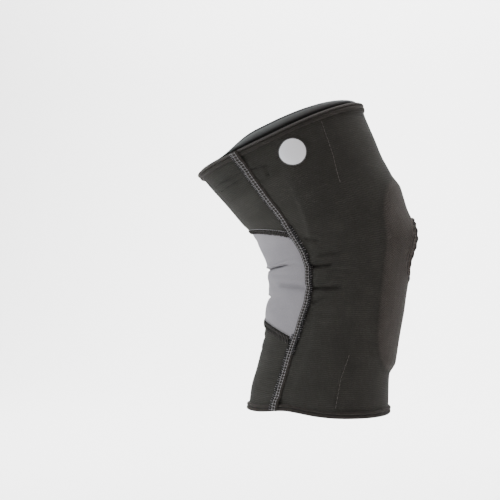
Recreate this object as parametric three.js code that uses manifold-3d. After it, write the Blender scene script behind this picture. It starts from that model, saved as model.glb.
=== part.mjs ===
// An open-patella knee brace in the form it has on a slightly bent knee.
// Millimetres. +X is the front, where the kneecap is, +Y the far side and +Z up.
// The origin is the middle of the knee, level with the middle of the kneecap opening.
import * as THREE from "three";
import { mergeVertices } from "three/addons/utils/BufferGeometryUtils.js";
import Module from "manifold-3d";

const { clamp, degToRad, lerp, radToDeg, smoothstep } = THREE.MathUtils;

// Sizes of the sleeve
const LENGTH_ABOVE_KNEE = 112; // knee centre to the hem's top edge, along the thigh
const LENGTH_BELOW_KNEE = 147.5; // knee centre to the hem's bottom edge, along the calf
const THIGH_DEPTH = 162; // front to back at the top edge
const THIGH_WIDTH = 146; // side to side at the top edge
const KNEE_DEPTH = 134;
const KNEE_WIDTH = 118;
const CALF_DEPTH = 126;
const CALF_WIDTH = 114;
const THIGH_LEAN = degToRad(24.5); // the thigh leans back from upright
const CALF_LEAN = degToRad(2); // the calf leans back going down
const BEND_LENGTH = 110; // stretch of the leg's middle line that is curved
const KNEECAP_SWELL = 5.5; // the kneecap pushes the cloth out round the opening
const KNEECAP_SPREAD = 40; // how far that goes sideways
const KNEECAP_RISE = 13; // and up and down
const KNEECAP_DROP = 4; // its middle lies this far below the knee centre

// Sizes of the cloth and what is sewn to it
const CLOTH = 3; // padded knit of the panels
const SEWING_GAP = 0.3; // between two pieces that are sewn together
const HEM_GAP = 0.6; // between a hem and the panels, whose facets do not line up
const HEM_HEIGHT = 6.5;
const HEM_SWELL = 1.3; // how far a folded hem stands out from the pockets
const HEM_ROUND = 1.3; // size of its rounded corners
const HEM_RISE = 4.5; // the top hem reaches this much higher at the back
const HEM_DROP = 2.5; // the bottom hem hangs this much lower at the back
const HEM_PULL = 3.5; // and is drawn up this much beside the side seams
const HEM_PULL_SPREAD = 17; // degrees over which that fades
const LINING_THICK = 1.6;
const LINING_DEPTH = 15; // how far the lining band reaches down inside the hem
const LINING_SHOW = 6; // how much more of it shows above the hem at the sides
const LINING_EDGE = 1; // how much of it shows all round
const SEAM_WIDTH = 5.5;
const SEAM_THICK = 0.9;
const SEAM_CLIMB = 6; // length over which a side seam climbs onto a hem
const CROSS_SEAM_WIDTH = 5;
const CROSS_SEAM_CLEAR = 1.4; // between its ends and the side seams, which cross it at a slant
const OPENING_HEIGHT = 53; // kneecap opening, edge to edge of its binding
const OPENING_WIDTH = 40;
const BINDING_LIP = 2.8; // how far the binding laps over the pad on each face
const BINDING_THICK = 1;
const BINDING_GAP = 0.5; // between the binding and the faces it is folded over
const BINDING_SLACK = 0.9; // between the binding and the cut edge of the opening
const PAD_HEIGHT = 146; // oval pad round the kneecap, measured along the leg's middle line
const PAD_WIDTH = 90; // round the front of the knee
const PAD_DROP = 34; // the pad's middle lies this far below the knee centre
const PAD_SWELL = 3.2;
const PAD_EDGE = 7; // width of the pad's sloping edge
const POCKET_WIDTH = 37; // pocket of the side stay
const POCKET_SWELL = 1;
const POCKET_EDGE = 4;
const FOLD_DEPTH = 2.6;
const FOLD_WIDTH = 5;
const FOLD_FADE = 18; // degrees over which a fold fades in, either way
const EMBLEM_DIAMETER = 24;
const EMBLEM_THICK = 0.8;
const FRONT_ROWS = 30; // rows of facets down the front panel
const ROW_CROWDING = 0.5; // 0 for even rows, 1 for rows that meet at the knee
const EMBLEM_AT = { along: 0.79, angle: -85 }; // share of LENGTH_ABOVE_KNEE, and degrees

// The leg's sections, from the bottom edge (-1) through the knee (0) to the top edge (1).
// front and back are shares of the depth there, side a share of the width there.
const SECTIONS = [
  { along: -1.0, front: 0.385, back: 0.635, side: 0.5 },
  { along: -0.87, front: 0.381, back: 0.616, side: 0.5 },
  { along: -0.77, front: 0.38, back: 0.583, side: 0.495 },
  { along: -0.67, front: 0.397, back: 0.553, side: 0.49 },
  { along: -0.53, front: 0.412, back: 0.518, side: 0.482 },
  { along: -0.4, front: 0.431, back: 0.516, side: 0.478 },
  { along: -0.27, front: 0.452, back: 0.491, side: 0.482 },
  { along: -0.13, front: 0.492, back: 0.484, side: 0.492 },
  { along: 0.0, front: 0.527, back: 0.474, side: 0.5 },
  { along: 0.17, front: 0.508, back: 0.478, side: 0.502 },
  { along: 0.35, front: 0.494, back: 0.475, side: 0.498 },
  { along: 0.52, front: 0.466, back: 0.497, side: 0.495 },
  { along: 0.7, front: 0.456, back: 0.519, side: 0.495 },
  { along: 0.87, front: 0.445, back: 0.544, side: 0.498 },
  { along: 1.0, front: 0.44, back: 0.559, side: 0.5 },
];

// Where the side seams and the middle of the stay pockets run, in degrees from the front.
const SEAM_ROUTE = [
  { along: -1.0, seam: 126, pocket: 98 },
  { along: -0.82, seam: 123, pocket: 95 },
  { along: -0.6, seam: 118.5, pocket: 87 },
  { along: -0.42, seam: 112, pocket: 84 },
  { along: -0.3, seam: 108, pocket: 83 },
  { along: -0.1, seam: 105.7, pocket: 82 },
  { along: 0.0, seam: 107, pocket: 82 },
  { along: 0.2, seam: 111.5, pocket: 81 },
  { along: 0.43, seam: 114.8, pocket: 79 },
  { along: 0.7, seam: 117.3, pocket: 77 },
  { along: 1.0, seam: 117.3, pocket: 76 },
];

// Folds behind the knee. back and side say how far along each lies at the back and at the
// side, from where in degrees it has faded in, and deepBack and deepSide how deep it is there.
const FOLDS = [
  { back: -0.055, side: -0.095, from: 80, deepBack: 0.75, deepSide: 0.4, wide: 1.0 },
  { back: -0.17, side: -0.225, from: 80, deepBack: 0.15, deepSide: 0.45, wide: 1.0 },
  { back: -0.29, side: -0.3, from: 130, deepBack: 0.7, deepSide: 0.1, wide: 0.9 },
];

// The seams above and below the panel behind the knee: along at the back and at the side seam.
const UPPER_CROSS = { back: 0.395, side: 0.175 };
const LOWER_CROSS = { back: -0.466, side: -0.561 };

const TURN = 2 * Math.PI;
const steps = (count, make) => Array.from({ length: count + 1 }, (_, i) => make(i / count));
const alongToShare = (along) => along / (along < 0 ? LENGTH_BELOW_KNEE : LENGTH_ABOVE_KNEE);
const shareToAlong = (share) => share * (share < 0 ? LENGTH_BELOW_KNEE : LENGTH_ABOVE_KNEE);

// A smooth curve through one column of a table, past its ends carried on straight.
function column(table, key) {
  const slopes = table.map((row, i) => {
    const before = table[Math.max(i - 1, 0)];
    const after = table[Math.min(i + 1, table.length - 1)];
    return (after[key] - before[key]) / (after.along - before.along);
  });
  return (share) => {
    let i = 0;
    while (i < table.length - 2 && share > table[i + 1].along) i += 1;
    const step = table[i + 1].along - table[i].along;
    const t = (share - table[i].along) / step;
    if (t < 0) return table[i][key] + slopes[i] * t * step;
    if (t > 1) return table[i + 1][key] + slopes[i + 1] * (t - 1) * step;
    const rise = table[i + 1][key] - table[i][key];
    const bend = 2 * rise - (slopes[i] + slopes[i + 1]) * step;
    return (
      table[i][key] +
      slopes[i] * step * t +
      (rise - slopes[i] * step + bend) * t * t -
      bend * t * t * t
    );
  };
}

const frontShare = column(SECTIONS, "front");
const backShare = column(SECTIONS, "back");
const sideShare = column(SECTIONS, "side");
const seamDegrees = column(SEAM_ROUTE, "seam");
const pocketDegrees = column(SEAM_ROUTE, "pocket");

const taper = (share, calf, knee, thigh) =>
  share < 0 ? lerp(knee, calf, -share) : lerp(knee, thigh, share);

// The leg's middle line: two straight stretches joined by an arc.
const CURVING = -(THIGH_LEAN + CALF_LEAN) / BEND_LENGTH;
const leanAt = (along) =>
  CALF_LEAN + CURVING * (clamp(along, -BEND_LENGTH / 2, BEND_LENGTH / 2) + BEND_LENGTH / 2);

function middleLine(along) {
  const bent = clamp(along, -BEND_LENGTH / 2, BEND_LENGTH / 2);
  const lean = leanAt(bent);
  const straight = along - bent;
  return {
    x: (Math.cos(leanAt(0)) - Math.cos(lean)) / CURVING + straight * Math.sin(lean),
    z: (Math.sin(lean) - Math.sin(leanAt(0))) / CURVING + straight * Math.cos(lean),
    lean,
  };
}

// The kneecap pad: an oval that stands out from the panel, with a sloping edge.
function padSwell(angle, along) {
  const across = (Math.abs(angle) * KNEE_WIDTH) / 2 / (PAD_WIDTH / 2);
  const up = (along + PAD_DROP) / (PAD_HEIGHT / 2);
  const inside = 1 - Math.cbrt(across ** 3 + Math.abs(up) ** 3);
  return PAD_SWELL * smoothstep(inside * (PAD_WIDTH / 2), -PAD_EDGE / 2, PAD_EDGE / 2);
}

// The kneecap's bulge: both faces of the cloth go out together.
function kneecapSwell(angle, along) {
  const across = (angle * KNEE_WIDTH) / 2 / KNEECAP_SPREAD;
  const up = (along + KNEECAP_DROP) / KNEECAP_RISE;
  return KNEECAP_SWELL * Math.exp(-(across ** 2) - up ** 2);
}

// The pocket of a side stay: a flat raised band down each side.
function pocketSwell(angle, along) {
  const middle = degToRad(pocketDegrees(alongToShare(along)));
  const off = (Math.abs(Math.abs(angle) - middle) * KNEE_WIDTH) / 2;
  return POCKET_SWELL * smoothstep(POCKET_WIDTH / 2 - off, -POCKET_EDGE / 2, POCKET_EDGE / 2);
}

// The folds: both faces of the cloth go in together.
function foldDepth(angle, along) {
  const degrees = Math.abs(radToDeg(angle));
  const t = clamp((180 - degrees) / 90, 0, 1);
  return FOLDS.reduce((sum, fold) => {
    const off = (along - lerp(shareToAlong(fold.back), shareToAlong(fold.side), t)) / FOLD_WIDTH;
    const deep = lerp(fold.deepBack, fold.deepSide, Math.sqrt(t));
    const reach = smoothstep(degrees, fold.from - FOLD_FADE, fold.from + FOLD_FADE);
    return sum + FOLD_DEPTH * deep * reach * Math.exp(-((off / fold.wide) ** 2));
  }, 0);
}

// A point of the sleeve. angle is 0 at the front and grows to the far side. out is measured
// from the outer face of plain cloth, and padding is how much of the pad and pocket is added.
function sleevePoint(angle, along, out, padding = 1) {
  const share = alongToShare(along);
  const depth = taper(share, CALF_DEPTH, KNEE_DEPTH, THIGH_DEPTH);
  const side = sideShare(share) * taper(share, CALF_WIDTH, KNEE_WIDTH, THIGH_WIDTH);
  const reach = (Math.cos(angle) > 0 ? frontShare(share) : backShare(share)) * depth;
  const normal = new THREE.Vector2(Math.cos(angle) / reach, Math.sin(angle) / side).normalize();
  const wrapped = angle - TURN * Math.round(angle / TURN);
  const swell = Math.max(padSwell(wrapped, along), pocketSwell(wrapped, along));
  const offset = out + padding * swell + kneecapSwell(wrapped, along) - foldDepth(wrapped, along);
  const forward = Math.cos(angle) * reach + normal.x * offset;
  const { x, z, lean } = middleLine(along);
  return new THREE.Vector3(
    x + forward * Math.cos(lean),
    Math.sin(angle) * side + normal.y * offset,
    z - forward * Math.sin(lean),
  );
}

// Edges of the pieces, as lengths along the leg at an angle
const seamAngle = (along) => degToRad(seamDegrees(alongToShare(along)));

const offFront = (angle) => Math.abs(angle - TURN * Math.round(angle / TURN));
const behind = (angle) => Math.max(0, -Math.cos(angle));
const hemTop = (angle) => LENGTH_ABOVE_KNEE + HEM_RISE * behind(angle) ** 2;
const panelTop = (angle) => hemTop(angle) - HEM_HEIGHT - HEM_GAP;

// The lining shows most at the sides, in front of the side seams.
function liningTop(angle) {
  const seam = seamAngle(LENGTH_ABOVE_KNEE);
  const before = 1 - smoothstep(offFront(angle), seam - 0.3, seam + 0.1);
  return hemTop(angle) + LINING_EDGE + LINING_SHOW * Math.abs(Math.sin(angle)) * before;
}

function hemBottom(angle) {
  const pulled = seamDegrees(-1) - HEM_PULL_SPREAD / 2;
  const off = (radToDeg(offFront(angle)) - pulled) / HEM_PULL_SPREAD;
  const dropped = HEM_DROP * behind(angle) ** 2;
  return -LENGTH_BELOW_KNEE - dropped + HEM_PULL * Math.exp(-(off ** 2));
}
const panelBottom = (angle) => hemBottom(angle) + HEM_HEIGHT + HEM_GAP;

// A cross seam is level with the leg's depth, so that it looks straight from the side.
function crossSeam(ends) {
  const side = shareToAlong(ends.side);
  const behind = -Math.cos(seamAngle(side));
  return (angle) =>
    lerp(side, shareToAlong(ends.back), (-Math.cos(angle) - behind) / (1 - behind));
}
const upperCross = crossSeam(UPPER_CROSS);
const lowerCross = crossSeam(LOWER_CROSS);

// A closed solid from a grid of points in loops: rings of a tube, or the two faces of a sheet.
function solidFromRings(rings, closedRound) {
  const count = rings[0].length;
  const positions = rings.flat().flatMap((p) => [p.x, p.y, p.z]);
  const faces = [];
  const quad = (a, b, c, d) => faces.push(a, b, c, a, c, d);
  const last = closedRound ? rings.length : rings.length - 1;
  for (let i = 0; i < last; i += 1) {
    const here = i * count;
    const next = ((i + 1) % rings.length) * count;
    for (let j = 0; j < count; j += 1) {
      const k = (j + 1) % count;
      quad(here + j, here + k, next + k, next + j);
    }
  }
  if (!closedRound) {
    const end = (rings.length - 1) * count;
    for (let j = 1; j < count - 1; j += 1) {
      faces.push(0, j + 1, j);
      faces.push(end, end + j, end + j + 1);
    }
  }
  const geometry = new THREE.BufferGeometry();
  geometry.setAttribute("position", new THREE.Float32BufferAttribute(positions, 3));
  geometry.setIndex(faces);
  return geometry;
}

// A closed solid from a sheet's outer and inner grids, given as rows of points.
function solidFromFaces(outer, inner) {
  const rows = outer.length;
  const count = outer[0].length;
  const positions = [...outer.flat(), ...inner.flat()].flatMap((p) => [p.x, p.y, p.z]);
  const faces = [];
  const at = (face, row, i) => (face * rows + row) * count + i;
  const quad = (a, b, c, d) => faces.push(a, b, c, a, c, d);
  for (let row = 0; row < rows - 1; row += 1) {
    for (let i = 0; i < count - 1; i += 1) {
      quad(at(0, row, i), at(0, row, i + 1), at(0, row + 1, i + 1), at(0, row + 1, i));
      quad(at(1, row, i), at(1, row + 1, i), at(1, row + 1, i + 1), at(1, row, i + 1));
    }
    const end = count - 1;
    quad(at(0, row, 0), at(0, row + 1, 0), at(1, row + 1, 0), at(1, row, 0));
    quad(at(0, row + 1, end), at(0, row, end), at(1, row, end), at(1, row + 1, end));
  }
  const top = rows - 1;
  for (let i = 0; i < count - 1; i += 1) {
    quad(at(0, 0, i + 1), at(0, 0, i), at(1, 0, i), at(1, 0, i + 1));
    quad(at(0, top, i), at(0, top, i + 1), at(1, top, i + 1), at(1, top, i));
  }
  const geometry = new THREE.BufferGeometry();
  geometry.setAttribute("position", new THREE.Float32BufferAttribute(positions, 3));
  geometry.setIndex(faces);
  return geometry;
}

// Rows of a panel that reaches past the knee lie closer together where the cloth folds.
const evenRows = (t) => t;
const kneeRows = (t) => t + (ROW_CROWDING * Math.sin(TURN * t)) / TURN;

// A cloth panel between two side edges, given as angles at a height, and two cross edges,
// given as heights at an angle. The edges meet where both agree, which a few turns find.
function panel({ left, right, bottom, top, across, rows, spread = evenRows }) {
  const outer = [];
  const inner = [];
  for (let row = 0; row <= rows; row += 1) {
    const places = steps(across, (t) => {
      let along = 0;
      let angle = 0;
      for (let turn = 0; turn < 6; turn += 1) {
        angle = lerp(left(along), right(along), t);
        along = lerp(bottom(angle), top(angle), spread(row / rows));
      }
      return [angle, along];
    });
    outer.push(places.map(([angle, along]) => sleevePoint(angle, along, 0)));
    inner.push(places.map(([angle, along]) => sleevePoint(angle, along, -CLOTH, 0)));
  }
  return solidFromFaces(outer, inner);
}

// Half of the gap between two panels, as an angle
const halfGap = SEWING_GAP / KNEE_WIDTH;
const frontEdge = (side) => (along) => side * (seamAngle(along) - halfGap);
const backEdge = (side) => (along) => (side < 0 ? TURN : 0) + side * (seamAngle(along) + halfGap);

// A band that goes all the way round, from a profile of [out, height] points at each angle
function band(profile, steps) {
  const rings = [];
  for (let i = 0; i < steps; i += 1) {
    const angle = (i / steps) * TURN;
    rings.push(profile(angle).map(([out, along]) => sleevePoint(angle, along, out, 0)));
  }
  return solidFromRings(rings, true);
}

// A folded hem: a fat band with rounded corners, as thick as two cloths pressed together
function hemProfile(low, high) {
  const outer = HEM_SWELL + POCKET_SWELL;
  return [
    [-CLOTH, low + HEM_ROUND],
    [-CLOTH, high - HEM_ROUND],
    [-CLOTH + HEM_ROUND, high],
    [outer - HEM_ROUND, high],
    [outer, high - HEM_ROUND],
    [outer, low + HEM_ROUND],
    [outer - HEM_ROUND, low],
    [-CLOTH + HEM_ROUND, low],
  ];
}

// A flat seam of stitches that lies on the panels along a line of [angle, along] points
function seamStrip(points, acrossLine, width, lift) {
  const profile = [
    [-0.5, 0],
    [0.5, 0],
    [0.42, 0.75],
    [0.16, 1],
    [-0.16, 1],
    [-0.42, 0.75],
  ];
  const rings = points.map(([angle, along]) => {
    const base = lift(angle, along);
    return profile.map(([across, up]) => {
      const [da, ds] = acrossLine(across * width);
      return sleevePoint(angle + da, along + ds, base + up * SEAM_THICK);
    });
  });
  return solidFromRings(rings, false);
}

// Where a seam crosses a hem, it climbs over the hem's swell.
function hemLift(angle, along) {
  const high = panelTop(angle) - 1;
  const low = panelBottom(angle) + 1;
  const overTop = smoothstep(along, high - SEAM_CLIMB, high);
  const overBottom = 1 - smoothstep(along, low, low + SEAM_CLIMB);
  return SEWING_GAP + (HEM_SWELL + POCKET_SWELL) * Math.max(overTop, overBottom);
}

// A side seam has its sections level with the front panel's rows, and goes on over the hems.
function sideSeam(side) {
  const start = seamAngle(-LENGTH_BELOW_KNEE);
  const end = seamAngle(LENGTH_ABOVE_KNEE);
  const rows = steps(FRONT_ROWS, (t) => lerp(panelBottom(start), panelTop(end), kneeRows(t)));
  const heights = [
    hemBottom(start),
    hemBottom(start) + HEM_HEIGHT / 2,
    ...rows,
    hemTop(end) - HEM_HEIGHT / 2,
    hemTop(end),
  ];
  const route = heights.map((along) => [side * seamAngle(along), along]);
  const across = (offset) => [(side * offset) / (KNEE_WIDTH / 2), 0];
  const strip = seamStrip(route, across, SEAM_WIDTH, hemLift);
  return side < 0 ? strip : flipped(strip);
}

function flipped(geometry) {
  const index = geometry.getIndex().array;
  for (let i = 0; i < index.length; i += 3) [index[i], index[i + 1]] = [index[i + 1], index[i]];
  return geometry;
}

// A cross seam stops short of the side seams it runs between.
function crossSeamStrip(line) {
  const clear = (SEAM_WIDTH / 2 + CROSS_SEAM_CLEAR) / (KNEE_WIDTH / 2);
  const end = seamAngle(line(seamAngle(0))) + clear;
  const route = steps(16, (t) => {
    const angle = lerp(end, TURN - end, t);
    return [angle, line(angle)];
  });
  return seamStrip(route, (offset) => [0, offset], CROSS_SEAM_WIDTH, () => SEWING_GAP);
}

// Manifold joins and cuts
const wasm = await Module();
wasm.setup();

function toManifold(geometry) {
  const merged = mergeVertices(geometry);
  return new wasm.Manifold(
    new wasm.Mesh({
      numProp: 3,
      vertProperties: merged.attributes.position.array,
      triVerts: new Uint32Array(merged.index.array),
    }),
  );
}

function fromManifold(solid) {
  const mesh = solid.getMesh();
  const geometry = new THREE.BufferGeometry();
  geometry.setAttribute("position", new THREE.BufferAttribute(mesh.vertProperties, 3));
  geometry.setIndex(new THREE.BufferAttribute(mesh.triVerts, 1));
  geometry.computeVertexNormals();
  return geometry;
}

// The kneecap opening, looked at from the front: an ellipse, grown by a margin
function openingOutline(turn, margin) {
  return {
    y: (OPENING_WIDTH / 2 + margin) * Math.cos(turn),
    z: (OPENING_HEIGHT / 2 + margin) * Math.sin(turn),
  };
}

function openingCutter(margin) {
  const points = steps(48, (t) => openingOutline(t * TURN, margin)).slice(0, -1);
  const shape = new THREE.Shape(points.map(({ y, z }) => new THREE.Vector2(y, z)));
  const cutter = new THREE.ExtrudeGeometry(shape, { depth: KNEE_DEPTH, bevelEnabled: false });
  cutter.deleteAttribute("normal");
  cutter.deleteAttribute("uv");
  // The shape's x and y become the row's y and z, and it is pushed forward along x.
  cutter.applyMatrix4(new THREE.Matrix4().set(0, 0, 1, 0, 1, 0, 0, 0, 0, 1, 0, 0, 0, 0, 0, 1));
  return cutter;
}

// The angle and height of the sleeve's point that lies at y and z at the front.
function frontAt(y, z, out) {
  let angle = 0;
  let along = z;
  for (let turn = 0; turn < 40; turn += 1) {
    const p = sleevePoint(angle, along, out);
    angle += (y - p.y) / (KNEE_WIDTH / 2);
    along += (z - p.z) * 0.6;
  }
  return [angle, along];
}

// The binding: a channel folded over the cut edge of the pad and the cloth
function bindingRing(turn) {
  const thick = BINDING_THICK;
  const clear = BINDING_GAP;
  // Each profile point is [distance in from the finished edge, out from the plain cloth, padding]
  const profile = [
    [0, clear + thick * 0.5, 1],
    [thick * 0.6, clear + thick, 1],
    [BINDING_LIP, clear + thick * 0.8, 1],
    [BINDING_LIP, clear, 1],
    [thick, clear, 1],
    [thick, -CLOTH - clear, 0],
    [BINDING_LIP, -CLOTH - clear, 0],
    [BINDING_LIP, -CLOTH - clear - thick, 0],
    [thick * 0.6, -CLOTH - clear - thick, 0],
    [0, -CLOTH - clear - thick * 0.5, 0],
  ];
  return profile.map(([margin, out, padding]) => {
    const { y, z } = openingOutline(turn, margin);
    const [angle, along] = frontAt(y, z, 0);
    return sleevePoint(angle, along, out, padding);
  });
}

function patellaBinding() {
  const rings = steps(40, (t) => bindingRing(t * TURN)).slice(0, -1);
  return solidFromRings(rings, true);
}

// A round badge that follows the panel's curve
function emblem() {
  const middle = degToRad(EMBLEM_AT.angle);
  const height = shareToAlong(EMBLEM_AT.along);
  const sideways = sleevePoint(middle + 0.01, height, 0).distanceTo(
    sleevePoint(middle - 0.01, height, 0),
  );
  const perAngle = sideways / 0.02;
  const place = (radius, turn, out) =>
    sleevePoint(
      middle + (radius * Math.cos(turn)) / perAngle,
      height + radius * Math.sin(turn),
      out,
    );
  const radius = EMBLEM_DIAMETER / 2;
  const low = SEWING_GAP;
  const high = SEWING_GAP + EMBLEM_THICK;
  const profile = [
    [0.06, low],
    [0.5, low],
    [1, low],
    [1, high - EMBLEM_THICK * 0.4],
    [0.96, high],
    [0.5, high],
    [0.06, high],
  ];
  const rings = profile.map(([share, out]) =>
    steps(36, (t) => place(share * radius, t * TURN, out)).slice(0, -1),
  );
  return solidFromRings(rings, false);
}

// Pieces
const brace = new THREE.Group();

function addPiece(name, geometry, color, roughness) {
  const ready = geometry.index ? geometry : mergeVertices(geometry);
  ready.computeVertexNormals();
  const material = new THREE.MeshStandardMaterial({ color, roughness, metalness: 0 });
  const mesh = new THREE.Mesh(ready, material);
  mesh.name = name;
  brace.add(mesh);
}

const CHARCOAL = 0x3a3937;
const GREY = 0x9a999e;
const LINING_GREY = 0x6e7476;
const BLACK = 0x232224;
const THREAD = 0x84838a;
const SILVER = 0xc9cad0;

const frontPanel = panel({
  left: frontEdge(-1),
  right: frontEdge(1),
  bottom: panelBottom,
  top: panelTop,
  across: 36,
  rows: FRONT_ROWS,
  spread: kneeRows,
});
const openFront = toManifold(frontPanel).subtract(
  toManifold(openingCutter(BINDING_THICK + BINDING_SLACK)),
);
addPiece("front_panel", fromManifold(openFront), CHARCOAL, 0.9);

const back = { left: backEdge(1), right: backEdge(-1), across: 14 };
const above = (line) => (angle) => line(angle) + SEWING_GAP / 2;
const below = (line) => (angle) => line(angle) - SEWING_GAP / 2;
addPiece(
  "upper_back_panel",
  panel({ ...back, bottom: above(upperCross), top: panelTop, rows: 8 }),
  CHARCOAL,
  0.9,
);
addPiece(
  "popliteal_panel",
  panel({ ...back, bottom: above(lowerCross), top: below(upperCross), rows: 20 }),
  GREY,
  0.85,
);
addPiece(
  "lower_back_panel",
  panel({ ...back, bottom: panelBottom, top: below(lowerCross), rows: 8 }),
  CHARCOAL,
  0.9,
);

addPiece(
  "top_hem",
  band((angle) => hemProfile(hemTop(angle) - HEM_HEIGHT, hemTop(angle)), 44),
  CHARCOAL,
  0.85,
);
addPiece(
  "bottom_hem",
  band((angle) => hemProfile(hemBottom(angle), hemBottom(angle) + HEM_HEIGHT), 44),
  CHARCOAL,
  0.85,
);

// The lining band lies inside the hem and rolls out a little over its top edge.
const liningProfile = (angle) => {
  const high = liningTop(angle);
  const outer = -CLOTH - SEWING_GAP;
  const inner = outer - LINING_THICK;
  const neck = hemTop(angle) + SEWING_GAP;
  return [
    [outer, hemTop(angle) - LINING_DEPTH],
    [inner, hemTop(angle) - LINING_DEPTH],
    [inner, lerp(neck, high, 0.3)],
    [inner + LINING_THICK * 0.3, high],
    [outer + LINING_THICK * 0.5, high],
    [outer + LINING_THICK, lerp(neck, high, 0.6)],
    [outer, neck],
  ];
};
addPiece("lining_band", band(liningProfile, 44), LINING_GREY, 0.7);

addPiece("side_seam_near", sideSeam(-1), THREAD, 0.8);
addPiece("side_seam_far", sideSeam(1), THREAD, 0.8);
addPiece("upper_cross_seam", crossSeamStrip(upperCross), BLACK, 0.8);
addPiece("lower_cross_seam", crossSeamStrip(lowerCross), BLACK, 0.8);
addPiece("patella_binding", patellaBinding(), BLACK, 0.75);
addPiece("emblem", emblem(), SILVER, 0.5);

export default brace;
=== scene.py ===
# %% [markdown]
# # An open-patella knee brace
# A padded sleeve for the knee, in the form that it has on a slightly bent leg. The solids of
# the CAD model are the frame: they give the size and place of every piece. This file dresses
# them. Lengths are in metres, +X is the front, +Y the far side and +Z up, and the origin is
# the middle of the knee.

# %% Load the frame
import math

import bpy
import numpy as np
from mathutils import Matrix


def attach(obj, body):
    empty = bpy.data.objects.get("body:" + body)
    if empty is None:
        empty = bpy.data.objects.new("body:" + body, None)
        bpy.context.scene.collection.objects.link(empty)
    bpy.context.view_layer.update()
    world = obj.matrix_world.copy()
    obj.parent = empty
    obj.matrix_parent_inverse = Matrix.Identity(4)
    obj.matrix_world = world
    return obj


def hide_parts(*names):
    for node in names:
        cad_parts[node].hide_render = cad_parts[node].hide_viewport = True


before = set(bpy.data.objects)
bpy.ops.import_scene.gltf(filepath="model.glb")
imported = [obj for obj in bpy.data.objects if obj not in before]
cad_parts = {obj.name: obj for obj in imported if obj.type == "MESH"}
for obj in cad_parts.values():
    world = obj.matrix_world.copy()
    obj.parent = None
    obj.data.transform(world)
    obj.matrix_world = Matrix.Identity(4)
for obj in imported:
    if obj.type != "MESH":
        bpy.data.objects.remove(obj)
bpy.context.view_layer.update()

print("CAD nodes:", ", ".join(sorted(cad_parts)))

# %% [markdown]
# ## The shape of the sleeve
# A sleeve on a leg is a tube round a bent middle line. The shape could be sculpted, but a
# formula keeps every seam, hem and stitch exactly on the cloth: a point of the sleeve is
# found from two numbers, its angle round the leg (0 at the front, growing to the far side)
# and its height along the leg. The main sizes come first, then a table of the leg's sections.

# %% Main sizes
ABOVE, BELOW = 0.112, 0.1475
THIGH_DEPTH, THIGH_WIDTH = 0.162, 0.146
KNEE_DEPTH, KNEE_WIDTH = 0.134, 0.118
CALF_DEPTH, CALF_WIDTH = 0.126, 0.114
THIGH_LEAN, CALF_LEAN = math.radians(24.5), math.radians(2)
BEND_LENGTH = 0.110
CLOTH = 0.003
TURN = 2 * math.pi

# Each row: share of the height, then the reach to the front and the back as shares of the
# depth there, and to the side as a share of the width there.
SECTIONS = np.array([
    (-1.00, 0.385, 0.635, 0.500),
    (-0.87, 0.381, 0.616, 0.500),
    (-0.77, 0.380, 0.583, 0.495),
    (-0.67, 0.397, 0.553, 0.490),
    (-0.53, 0.412, 0.518, 0.482),
    (-0.40, 0.431, 0.516, 0.478),
    (-0.27, 0.452, 0.491, 0.482),
    (-0.13, 0.492, 0.484, 0.492),
    (0.00, 0.527, 0.474, 0.500),
    (0.17, 0.508, 0.478, 0.502),
    (0.35, 0.494, 0.475, 0.498),
    (0.52, 0.466, 0.497, 0.495),
    (0.70, 0.456, 0.519, 0.495),
    (0.87, 0.445, 0.544, 0.498),
    (1.00, 0.440, 0.559, 0.500),
])
print(f"sleeve {ABOVE + BELOW:.3f} m long, {len(SECTIONS)} sections")


# %% A smooth curve through a table's column
def curve_through(xs, ys):
    """Cubic pieces between the rows, each with the slope of its neighbours; straight past the ends."""
    left = np.maximum(np.arange(len(xs)) - 1, 0)
    right = np.minimum(np.arange(len(xs)) + 1, len(xs) - 1)
    slope = (ys[right] - ys[left]) / (xs[right] - xs[left])

    def curve(x):
        x = np.asarray(x, float)
        i = np.clip(np.searchsorted(xs, x) - 1, 0, len(xs) - 2)
        step = xs[i + 1] - xs[i]
        t = (x - xs[i]) / step
        s = np.clip(t, 0, 1)
        rise = ys[i + 1] - ys[i]
        a, b = slope[i] * step, slope[i + 1] * step
        inside = ys[i] + a * s + (3 * rise - 2 * a - b) * s**2 + (a + b - 2 * rise) * s**3
        return inside + a * np.minimum(t, 0) + b * np.maximum(t - 1, 0)

    return curve


shares, *reaches = SECTIONS.T
front_share, back_share, side_share = (curve_through(shares, reach) for reach in reaches)


def share_of(along):
    """Height along the leg as a share: -1 at the bottom edge, 0 at the knee, 1 at the top edge."""
    return np.where(along < 0, along / BELOW, along / ABOVE)


def smooth(x, low, high):
    """0 below low, 1 above high, and an S-shaped ramp between them."""
    t = np.clip((x - low) / (high - low), 0, 1)
    return t * t * (3 - 2 * t)


print(f"front reach at the knee {float(front_share(0)) * KNEE_DEPTH:.4f} m")

# %% [markdown]
# ## Relief
# The cloth has a form of its own on top of the leg's: an oval pad round the kneecap, a flat
# pocket down each side for a spring stay, the push of the kneecap itself, and the folds that
# gather behind the knee. Each is a small height over the plain sleeve, found from the same
# two numbers, so they add up.

# %% Pad, pocket and kneecap
PAD_HEIGHT, PAD_WIDTH, PAD_DROP = 0.146, 0.090, 0.034
PAD_SWELL, PAD_EDGE = 0.0032, 0.007
POCKET_WIDTH, POCKET_SWELL, POCKET_EDGE = 0.037, 0.001, 0.004
KNEECAP_SWELL, KNEECAP_SPREAD = 0.0055, 0.040
KNEECAP_RISE, KNEECAP_DROP = 0.013, 0.004

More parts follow.
